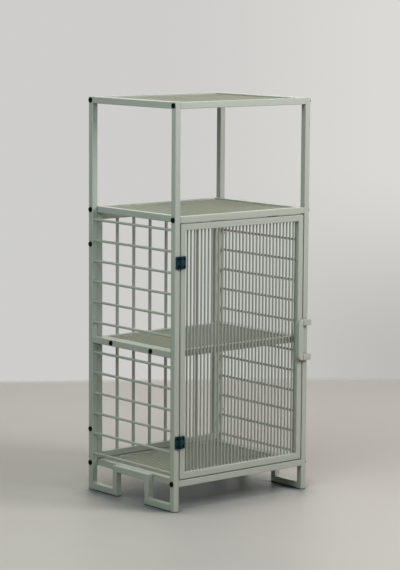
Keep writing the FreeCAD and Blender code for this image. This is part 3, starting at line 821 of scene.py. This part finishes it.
# Each lamp's name, its place right of, beyond and above the cabinet's middle in the view, its size and colour
LAMPS = (
    ("key", (2.4, -0.9, 1.3), (1.0, 1.0), (1.0, 1.0, 1.0)),
    ("front", (-0.5, -2.2, 2.0), (1.4, 1.4), (0.80, 1.0, 0.95)),
    ("top", (0.3, -0.4, 3.2), (2.4, 2.4), (1.0, 0.86, 0.74)),
    ("fill", (-2.0, -2.3, 1.6), (1.6, 1.6), (0.84, 0.97, 1.0)),
    ("back", (-0.3, 3.2, 1.7), (3.6, 2.2), (1.0, 1.0, 0.83)),
    ("rear", (-0.3, 3.0, 0.1), (2.4, 1.2), (1.0, 1.0, 0.92)),
)


def hang_lamp(scene, studio, name, place, size, colour):
    """A soft lamp that faces the cabinet's middle and stays out of sight."""
    right = across_view(studio)
    ahead = Z.cross(right)
    offset = right * place[0] + ahead * place[1] + Z * place[2]
    lamp = bpy.data.lights.new(f"{name}_lamp", "AREA")
    lamp.shape = "RECTANGLE"
    lamp.size, lamp.size_y = size
    lamp.energy = getattr(studio, f"{name}_power")
    lamp.color = colour
    holder = bpy.data.objects.new(f"{name}_lamp", lamp)
    holder.location = (cad_box[0] + cad_box[1]) / 2 + offset
    holder.rotation_euler = (-offset).to_track_quat("-Z", "Y").to_euler()
    holder.visible_camera = False
    scene.collection.objects.link(holder)
    return holder


def keep_off(lamp, thing):
    """Keeps a lamp's light off one thing, and its reflection off everything."""
    unlit = bpy.data.collections.new(f"{lamp.name}_unlit")
    unlit.objects.link(thing)
    unlit.collection_objects[0].light_linking.link_state = "EXCLUDE"
    lamp.light_linking.receiver_collection = unlit
    lamp.visible_glossy = False


SENSOR_WIDTH = 36


def set_camera(scene, studio):
    """A camera at the eye, turned by azimuth, drop and roll."""
    ahead = Vector((
        math.sin(studio.azimuth) * math.cos(studio.drop),
        math.cos(studio.azimuth) * math.cos(studio.drop),
        -math.sin(studio.drop)))
    right = across_view(studio)
    up = right.cross(ahead)
    rolled_right = right * math.cos(studio.roll) + up * math.sin(studio.roll)
    rolled_up = up * math.cos(studio.roll) - right * math.sin(studio.roll)
    turn = Matrix((rolled_right, rolled_up, -ahead)).transposed()
    lens = bpy.data.cameras.new("camera")
    lens.sensor_width = SENSOR_WIDTH
    lens.lens = studio.lens
    camera = bpy.data.objects.new("camera", lens)
    camera.matrix_world = Matrix.Translation(studio.eye) @ turn.to_4x4()
    scene.collection.objects.link(camera)
    scene.camera = camera


# Operators

class CoatFrame(Operator):
    """Coats every tube, wire, bar, cap and handle piece, and mixes the coat of the welds"""

    bl_idname = "cabinet.coat_frame"
    bl_label = "Coat Frame"

    def execute(self, context):
        coat = context.scene.cabinet_coat
        finish = powder_coat(
            FRAME_COAT, coat.light, coat.deep, coat, CLOUDS_ALONG_Z, coat.roughness, coat.gloss)
        paint(FRAME_COAT, finish)
        powder_coat(WELD_COAT, coat.light, coat.deep, coat, EVEN, coat.weld_roughness, coat.weld_gloss)
        return {"FINISHED"}


class CoatRods(Operator):
    """Coats the rods of the four trays in a lighter, more olive copy of the coat as painted light, and the
    door's rods in a darker copy of the coat as painted shade
    """

    bl_idname = "cabinet.coat_rods"
    bl_label = "Coat Rods"

    def execute(self, context):
        coat = context.scene.cabinet_coat
        # Painted light: the trays' rods get the lighter, more olive copy of the coat
        shelf = powder_coat(
            "shelf_coat", coat.shelf_lit_tone, coat.shelf_lit_deep, coat, CLOUDS_ALONG_Y,
            coat.shelf_roughness, coat.shelf_gloss)
        paint(ROD_COAT, shelf)
        # Painted shade: the door's rods get the darker copy of the coat
        upright = powder_coat(
            ROD_COAT, coat.rod_shaded_tone, coat.rod_shaded_deep, coat, CLOUDS_ALONG_Z, coat.roughness, coat.gloss)
        paint_node("door_rods", upright)
        return {"FINISHED"}


class FinishHinges(Operator):
    """Gives the hinge leaves their moulded plastic"""

    bl_idname = "cabinet.finish_hinges"
    bl_label = "Finish Hinges"

    def execute(self, context):
        fittings = context.scene.cabinet_fittings
        for node, highlight_share in (
            ("hinge_post_leaves", fittings.post_leaf_highlight),
            ("hinge_door_leaves", fittings.door_leaf_highlight),
        ):
            paint_node(node, hinge_plastic(node, fittings, highlight_share))
        return {"FINISHED"}


class FinishBolts(Operator):
    """Blackens the frame bolts and hinge screws"""

    bl_idname = "cabinet.finish_bolts"
    bl_label = "Finish Bolts"

    def execute(self, context):
        paint("bolt_black", black_oxide(context.scene.cabinet_fittings))
        return {"FINISHED"}


class FinishSteel(Operator):
    """Plates the hinge pins, threaded plugs, nuts and magnets"""

    bl_idname = "cabinet.finish_steel"
    bl_label = "Finish Steel"

    def execute(self, context):
        paint("bright_steel", zinc(context.scene.cabinet_fittings))
        return {"FINISHED"}


class FinishPads(Operator):
    """Gives the foot pads their rubber"""

    bl_idname = "cabinet.finish_pads"
    bl_label = "Finish Pads"

    def execute(self, context):
        paint("pad_rubber", pad_rubber(context.scene.cabinet_fittings))
        return {"FINISHED"}


class WeldSides(Operator):
    """Lays beads in the inside corners of both side frames and their feet"""

    bl_idname = "cabinet.weld_sides"
    bl_label = "Weld Sides"

    def execute(self, context):
        weld = context.scene.cabinet_welds
        for side in SIDES:
            bm = bmesh.new()
            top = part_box(f"{side}_top_rail")
            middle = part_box(f"{side}_middle_rail")
            for rail, z, z_way in ((top, top[0].z, -Z), (middle, middle[1].z, Z), (middle, middle[0].z, -Z)):
                for y, y_way in ((rail[0].y, Y), (rail[1].y, -Y)):
                    bead_across(bm, Vector((0, y, z)), X, top, (y_way, z_way), weld, weld.leg)
            weld_piece(f"{side}_rail_welds", bm, CABINET)
            self.weld_foot(side, top, weld)
        return {"FINISHED"}

    def weld_foot(self, side, rail, weld):
        """Beads at a foot's inside corners, as wide as the rail, and dressed seams along its mitres."""
        bm = bmesh.new()
        low, high = rail
        runner_low, runner_top = (corner.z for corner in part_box(f"{side}_foot_runners"))
        arch_low, arch_top = (corner.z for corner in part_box(f"{side}_foot_arch_rail"))
        front, rear = solids(f"{side}_foot_uprights")
        for post_face, outer, inner, inward in (
            (low.y, front[0].y, front[1].y, Y),
            (high.y, rear[1].y, rear[0].y, -Y),
        ):
            for y, z, y_way, z_way in (
                (post_face, runner_top, inward, Z),
                (outer, runner_top, -inward, Z),
                (inner, arch_low, inward, -Z),
            ):
                bead_across(bm, Vector((0, y, z)), X, rail, (y_way, z_way), weld, weld.foot_leg)
            for x, normal in ((low.x, -X), (high.x, X)):
                for start, end in (
                    ((x, outer, runner_top), (x, inner, runner_low)),
                    ((x, outer, arch_top), (x, inner, arch_low)),
                ):
                    mitre_seam(bm, Vector(start), Vector(end), normal, weld)
        weld_piece(f"{side}_foot_welds", bm, CABINET)


class WeldPanels(Operator):
    """Lays beads in the corners of the door and back panel, and dresses their mitres"""

    bl_idname = "cabinet.weld_panels"
    bl_label = "Weld Panels"

    def execute(self, context):
        weld = context.scene.cabinet_welds
        for panel, body, both_faces in (("door", DOOR, True), ("back_panel", CABINET, False)):
            bm = bmesh.new()
            left, right, bottom, top = (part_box(f"{panel}_{part}") for part in PANEL_PARTS)
            faces = [(left[0].y, -Y), (left[1].y, Y)] if both_faces else [(left[0].y, -Y)]
            for x_in, x_out, x_way in ((left[1].x, left[0].x, X), (right[0].x, right[1].x, -X)):
                for z_in, z_out, z_way in ((bottom[1].z, bottom[0].z, Z), (top[0].z, top[1].z, -Z)):
                    bead_across(bm, Vector((x_in, 0, z_in)), Y, left, (x_way, z_way), weld, weld.leg)
                    for y, normal in faces:
                        mitre_seam(bm, Vector((x_in, y, z_in)), Vector((x_out, y, z_out)), normal, weld)
            weld_piece(f"{panel}_corner_welds", bm, body)
        return {"FINISHED"}


class WeldTrays(Operator):
    """Lays beads in the inside corners of the four trays"""

    bl_idname = "cabinet.weld_trays"
    bl_label = "Weld Trays"

    def execute(self, context):
        weld = context.scene.cabinet_welds
        for tray in TRAYS:
            bm = bmesh.new()
            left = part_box(f"{tray}_left_rail")
            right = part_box(f"{tray}_right_rail")
            for x, x_way in ((left[1].x, X), (right[0].x, -X)):
                for y, y_way in ((left[0].y, Y), (left[1].y, -Y)):
                    bead_across(bm, Vector((x, y, 0)), Z, left, (x_way, y_way), weld, weld.leg)
            weld_piece(f"{tray}_welds", bm, CABINET)
        return {"FINISHED"}


# Change of a collar's phase from one rod to the next, and from one end of a rod to the other
ROD_PHASE = 1.7
END_PHASE = 0.9


class WeldRods(Operator):
    """Welds the ends of the door's rods, the trays' rods, the side wires and the back panel's bars"""

    bl_idname = "cabinet.weld_rods"
    bl_label = "Weld Rods"

    def execute(self, context):
        weld = context.scene.cabinet_welds
        for node, axis, body in (
            ("door_rods", Z, DOOR),
            ("left_wires", Y, CABINET),
            ("right_wires", Y, CABINET),
            ("back_panel_bars", Z, CABINET),
            *((f"{tray}_rods", Y, CABINET) for tray in TRAYS),
        ):
            bm = bmesh.new()
            for index, (low, high) in enumerate(solids(node)):
                middle = (low + high) / 2
                half = (high - low).dot(axis) / 2
                radius = (high.x - low.x) / 2
                phase = ROD_PHASE * index
                collar(bm, middle - axis * half, axis, radius, weld, phase)
                collar(bm, middle + axis * half, -axis, radius, weld, phase + END_PHASE)
            weld_piece(f"{node}_welds", bm, body)
        return {"FINISHED"}


class SetStage(Operator):
    """Lays the floor and sets the wall colour, lamps and camera"""

    bl_idname = "cabinet.set_stage"
    bl_label = "Set Stage"

    def execute(self, context):
        studio = context.scene.cabinet_studio
        context.scene.view_settings.view_transform = "Standard"
        floor = lay_floor(context.scene, studio)
        colour_world(context.scene, studio)
        lamps = {name: hang_lamp(context.scene, studio, name, *setup) for name, *setup in LAMPS}
        keep_off(lamps["rear"], floor)
        set_camera(context.scene, studio)
        return {"FINISHED"}


# Sidebar

SETTINGS = (
    ("cabinet_coat", CoatSettings),
    ("cabinet_fittings", FittingSettings),
    ("cabinet_welds", WeldSettings),
    ("cabinet_studio", StudioSettings),
)
STEPS = (
    CoatFrame, CoatRods, FinishHinges, FinishBolts, FinishSteel, FinishPads,
    WeldSides, WeldPanels, WeldTrays, WeldRods, SetStage,
)


class CabinetPanel(Panel):
    """Lists the steps and their settings"""

    bl_idname = "VIEW3D_PT_cabinet"
    bl_label = "Caged Cabinet"
    bl_space_type = "VIEW_3D"
    bl_region_type = "UI"
    bl_category = "Cabinet"

    def draw(self, context):
        for step in STEPS:
            self.layout.operator(step.bl_idname)
        for name, kind in SETTINGS:
            box = self.layout.box()
            box.label(text=kind.__doc__)
            for setting in kind.__annotations__:
                box.prop(getattr(context.scene, name), setting)


def register():
    for name, kind in SETTINGS:
        bpy.utils.register_class(kind)
        setattr(bpy.types.Scene, name, PointerProperty(type=kind))
    for kind in (*STEPS, CabinetPanel):
        bpy.utils.register_class(kind)


def unregister():
    for kind in (CabinetPanel, *reversed(STEPS)):
        bpy.utils.unregister_class(kind)
    for name, kind in reversed(SETTINGS):
        delattr(bpy.types.Scene, name)
        bpy.utils.unregister_class(kind)


def main():
    register()
    bpy.ops.cabinet.coat_frame()
    bpy.ops.cabinet.coat_rods()
    bpy.ops.cabinet.finish_hinges()
    bpy.ops.cabinet.finish_bolts()
    bpy.ops.cabinet.finish_steel()
    bpy.ops.cabinet.finish_pads()
    bpy.ops.cabinet.weld_sides()
    bpy.ops.cabinet.weld_panels()
    bpy.ops.cabinet.weld_trays()
    bpy.ops.cabinet.weld_rods()
    bpy.ops.cabinet.set_stage()


if __name__ == "__main__":
    main()
